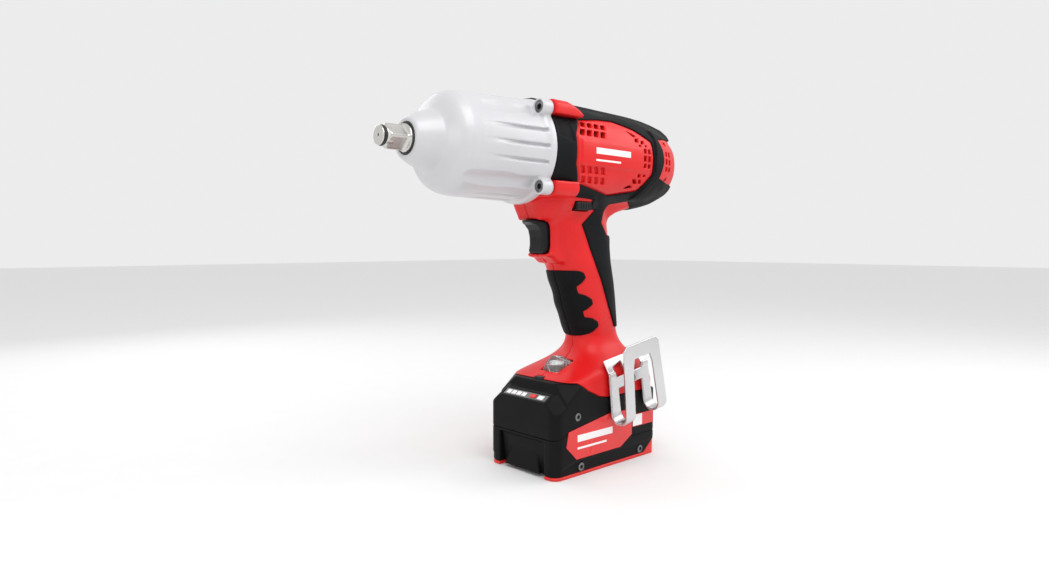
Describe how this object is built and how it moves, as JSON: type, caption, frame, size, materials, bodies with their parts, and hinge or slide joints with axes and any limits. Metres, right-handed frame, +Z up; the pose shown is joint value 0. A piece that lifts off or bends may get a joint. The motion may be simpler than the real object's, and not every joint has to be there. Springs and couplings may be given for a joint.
{
  "type": "impact wrench",
  "caption": "Cordless pistol-grip impact wrench with a half-inch square drive, hammer mechanism, brushed motor, belt hook and a slide-on battery pack.",
  "frame": {"origin": "centre of the battery pack's bottom face, on the surface the tool stands on", "axes": "+X along the drive line towards the nose, +Y to the tool's left side, +Z up"},
  "size_m": [0.2878, 0.0949, 0.2839],
  "materials": {
    "housing_red": "fine moulded texture, satin",
    "soft_black": "soft matt overmould",
    "pack_black": "moulded, satin",
    "inner_plastic": "moulded, matt",
    "case_white": "satin silver-white paint over a cast case",
    "tool_steel": "ground steel",
    "dark_steel": "black oxide",
    "bright_steel": "bright zinc plate",
    "spring_steel": "oiled wire",
    "bronze": "sintered bronze",
    "copper": "enamelled copper",
    "nitrile": "seal rubber",
    "magnet": "sintered ferrite",
    "lamination": "stacked sheet",
    "carbon": "pressed carbon",
    "lens_clear": "clear moulded lens",
    "board_green": "coated circuit board",
    "label_red": "printed film",
    "display_panel": "glossy panel with light bars",
    "button_red": "moulded",
    "cell_sleeve": "heat-shrink sleeve",
    "nickel": "nickel strip",
    "trigger_black": "moulded, satin"
  },
  "bodies": {
    "housing": {"housing_left": "housing_red", "housing_right": "housing_red", "soft_cover_left": "soft_black", "soft_cover_right": "soft_black", "grip_pad_left": "soft_black", "grip_pad_right": "soft_black", "housing_screws": "dark_steel", "hammer_case": "case_white", "case_screws": "bright_steel", "anvil_bushing": "bronze", "front_seal": "nitrile", "ring_gear": "dark_steel", "gear_cover": "inner_plastic", "case_seal_ring": "nitrile", "spindle_bearing": "tool_steel", "motor_bearings": "tool_steel", "stator_can": "dark_steel", "stator_magnets": "magnet", "brush_plate": "inner_plastic", "brushes": "carbon", "brush_springs": "copper", "switch_module": "inner_plastic", "led_lens": "lens_clear", "led_board": "board_green", "control_board": "board_green", "terminal_block": "inner_plastic", "belt_hook": "bright_steel", "hook_screw": "dark_steel"},
    "anvil": {"anvil": "tool_steel", "friction_ring": "dark_steel", "ring_cushion": "nitrile"},
    "spindle": {"spindle": "tool_steel", "planet_pins": "tool_steel", "cam_balls": "tool_steel"},
    "hammer": {"hammer": "dark_steel", "hammer_spring": "spring_steel", "spring_washer": "tool_steel"},
    "planet_1": {"planet_gear_1": "dark_steel"},
    "planet_2": {"planet_gear_2": "dark_steel"},
    "planet_3": {"planet_gear_3": "dark_steel"},
    "rotor": {"rotor_shaft": "tool_steel", "rotor_core": "lamination", "rotor_windings": "copper", "commutator": "copper", "cooling_fan": "inner_plastic", "motor_pinion": "dark_steel"},
    "trigger": {"trigger": "trigger_black"},
    "direction_selector": {"direction_selector": "trigger_black"},
    "battery": {"battery_base": "button_red", "battery_lower_case": "pack_black", "battery_upper_case": "pack_black", "charge_display": "display_panel", "battery_cells": "cell_sleeve", "cell_holders": "inner_plastic", "cell_straps": "nickel", "battery_board": "board_green", "battery_contacts": "nickel", "battery_screws": "dark_steel", "battery_labels": "label_red"},
    "charge_button": {"charge_button": "button_red"},
    "release_button": {"release_button": "pack_black"},
    "battery_latch": {"battery_latch": "inner_plastic", "latch_spring": "spring_steel"}
  },
  "joints": [
    {"name": "spindle_spin", "type": "hinge", "parent": "housing", "child": "spindle", "pos_m": [0, 0, 0.243], "axis": [1, 0, 0], "continuous": true},
    {"name": "anvil_spin", "type": "hinge", "parent": "housing", "child": "anvil", "pos_m": [0, 0, 0.243], "axis": [1, 0, 0], "continuous": true},
    {"name": "rotor_spin", "type": "hinge", "parent": "housing", "child": "rotor", "pos_m": [0, 0, 0.243], "axis": [1, 0, 0], "continuous": true},
    {"name": "hammer_recoil", "type": "slide", "parent": "spindle", "child": "hammer", "axis": [-1, 0, 0], "range_m": [0, 0.0068], "stiffness_N_per_m": 9000, "deforming": ["hammer_spring"]},
    {"name": "planet_1_spin", "type": "hinge", "parent": "spindle", "child": "planet_1", "pos_m": [0.0815, 0, 0.2562], "axis": [1, 0, 0], "continuous": true},
    {"name": "planet_2_spin", "type": "hinge", "parent": "spindle", "child": "planet_2", "pos_m": [0.0815, -0.01143, 0.2364], "axis": [1, 0, 0], "continuous": true},
    {"name": "planet_3_spin", "type": "hinge", "parent": "spindle", "child": "planet_3", "pos_m": [0.0815, 0.01143, 0.2364], "axis": [1, 0, 0], "continuous": true},
    {"name": "trigger_pull", "type": "slide", "parent": "housing", "child": "trigger", "axis": [-1, 0, 0], "range_m": [0, 0.006], "stiffness_N_per_m": 900},
    {"name": "direction_select", "type": "slide", "parent": "housing", "child": "direction_selector", "axis": [0, 1, 0], "range_m": [-0.003, 0.003]},
    {"name": "battery_slide", "type": "slide", "parent": "housing", "child": "battery", "axis": [1, 0, 0], "range_m": [0, 0.11]},
    {"name": "release_press", "type": "slide", "parent": "battery", "child": "release_button", "axis": [-1, 0, 0], "range_m": [0, 0.0024], "stiffness_N_per_m": 1200},
    {"name": "latch_drop", "type": "slide", "parent": "battery", "child": "battery_latch", "axis": [0, 0, -1], "range_m": [0, 0.0032], "deforming": ["latch_spring"]},
    {"name": "charge_press", "type": "slide", "parent": "battery", "child": "charge_button", "axis": [-0.4617, 0, -0.887], "range_m": [0, 0.0005], "stiffness_N_per_m": 1500}
  ],
  "couplings": [
    {"joint": "anvil_spin", "follows": "spindle_spin", "ratio": 1},
    {"joint": "rotor_spin", "follows": "spindle_spin", "ratio": 5.5},
    {"joint": "planet_1_spin", "follows": "spindle_spin", "ratio": -2.5714},
    {"joint": "planet_2_spin", "follows": "spindle_spin", "ratio": -2.5714},
    {"joint": "planet_3_spin", "follows": "spindle_spin", "ratio": -2.5714},
    {"joint": "latch_drop", "follows": "release_press", "ratio": 1.3333}
  ]
}
